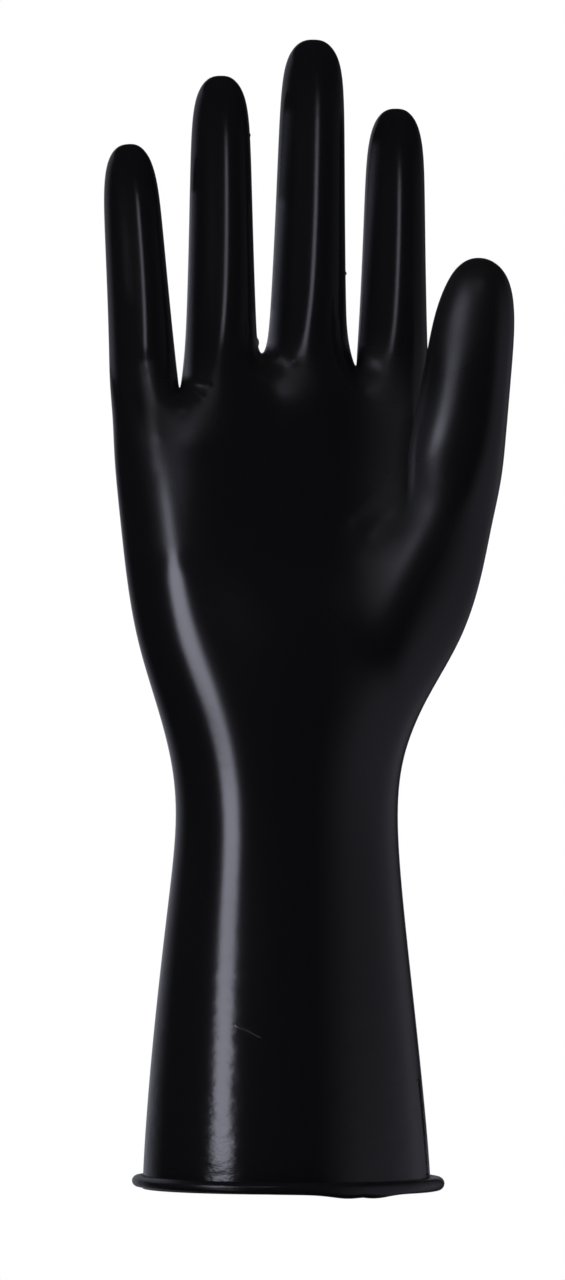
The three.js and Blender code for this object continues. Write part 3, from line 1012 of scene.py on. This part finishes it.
def build_world():
    """White behind the glove, and even light on matt surfaces. Gloss mirrors a dark room and its backdrop."""
    world = bpy.data.worlds.new("studio")
    tree = cleared_nodes(world)
    place = node(tree, "ShaderNodeTexCoord").outputs["Generated"]
    behind = vector_maths(tree, "behind the glove", "DOT_PRODUCT", place, BACKDROP_MIDDLE)
    sockets = {"Value": behind, "From Min": BACKDROP_STARTS, "From Max": 1.0}
    ramp = node(tree, "ShaderNodeMapRange", "backdrop", sockets)
    edge = maths(tree, "backdrop edge", "POWER", ramp.outputs["Result"], BACKDROP_FADING)
    strength = maths(tree, "backdrop strength", "MULTIPLY", edge, BACKDROP_STRENGTH)
    mirrored = node(tree, "ShaderNodeBackground", "mirrored", {"Color": GLOW_COLOUR, "Strength": strength})
    plain = node(tree, "ShaderNodeBackground", "seen and matt", {"Color": WHITE, "Strength": 1.0})
    rays = node(tree, "ShaderNodeLightPath")
    mixed = node(tree, "ShaderNodeMixShader", "room", {"Fac": rays.outputs["Is Glossy Ray"]})
    tree.links.new(plain.outputs["Background"], mixed.inputs[1])
    tree.links.new(mirrored.outputs["Background"], mixed.inputs[2])
    node(tree, "ShaderNodeOutputWorld", "", {"Surface": mixed.outputs["Shader"]})
    bpy.context.scene.world = world


FLOOR_HEIGHT = -0.4
FLOOR_RADIUS = 6.0
FLOOR_SEGMENTS = 96
FLOOR_ROUGHNESS = 0.8
CAMERA_SIDE = -0.0013
CAMERA_HEIGHT = 0.1576
CAMERA_SEES_TO = 40.0
SENSOR_WIDTH = 36.0


class GLOVE_OT_add_studio(bpy.types.Operator):
    """Add the floor, the soft lights, the white surroundings and the camera"""

    bl_idname = "glove.add_studio"
    bl_label = "Studio"

    def execute(self, context):
        studio = context.scene.studio_settings
        bm = bmesh.new()
        bmesh.ops.create_circle(bm, cap_ends=True, segments=FLOOR_SEGMENTS, radius=FLOOR_RADIUS)
        bmesh.ops.translate(bm, verts=bm.verts, vec=(0, 0, FLOOR_HEIGHT))
        floor = stage_object("floor", bm, plain_material("floor_white", studio.floor, FLOOR_ROUGHNESS))
        floor.visible_glossy = False
        build_world()
        for panel in light_panels(studio):
            add_light_panel(panel)

        data = bpy.data.cameras.new("camera")
        data.lens = studio.lens
        data.sensor_width = SENSOR_WIDTH
        data.clip_end = CAMERA_SEES_TO
        camera = bpy.data.objects.new("camera", data)
        camera.location = (CAMERA_SIDE, -studio.distance, CAMERA_HEIGHT)
        camera.rotation_euler = (math.radians(90), 0, 0)
        context.scene.collection.objects.link(camera)
        context.scene.camera = camera
        context.scene.view_settings.view_transform = "Standard"
        return {"FINISHED"}


class GLOVE_PT_panel(bpy.types.Panel):
    """The glove's pieces and their settings"""

    bl_idname = "GLOVE_PT_panel"
    bl_label = "Glove"
    bl_space_type = "VIEW_3D"
    bl_region_type = "UI"
    bl_category = "Glove"

    def draw(self, context):
        rows = (
            (GLOVE_OT_add_shell, "glove_shell_settings"),
            (GLOVE_OT_add_bead, "cuff_bead_settings"),
            (GLOVE_OT_add_studio, "studio_settings"),
        )
        for operator, group in rows:
            settings = getattr(context.scene, group)
            for name in settings.__annotations__:
                self.layout.prop(settings, name)
            self.layout.operator(operator.bl_idname)
        finish = context.scene.latex_settings
        for name in finish.__annotations__:
            self.layout.prop(finish, name)


SETTINGS = {
    "glove_shell_settings": GloveShellSettings,
    "cuff_bead_settings": CuffBeadSettings,
    "latex_settings": LatexSettings,
    "studio_settings": StudioSettings,
}
OPERATORS = (GLOVE_OT_add_shell, GLOVE_OT_add_bead, GLOVE_OT_add_studio)


def register():
    for cls in (*SETTINGS.values(), *OPERATORS, GLOVE_PT_panel):
        bpy.utils.register_class(cls)
    for name, group in SETTINGS.items():
        setattr(bpy.types.Scene, name, bpy.props.PointerProperty(type=group))


def unregister():
    for name in SETTINGS:
        delattr(bpy.types.Scene, name)
    for cls in (GLOVE_PT_panel, *reversed(OPERATORS), *reversed(SETTINGS.values())):
        bpy.utils.unregister_class(cls)


def main():
    register()
    bpy.ops.glove.add_shell()
    bpy.ops.glove.add_bead()
    bpy.ops.glove.add_studio()


if __name__ == "__main__":
    main()
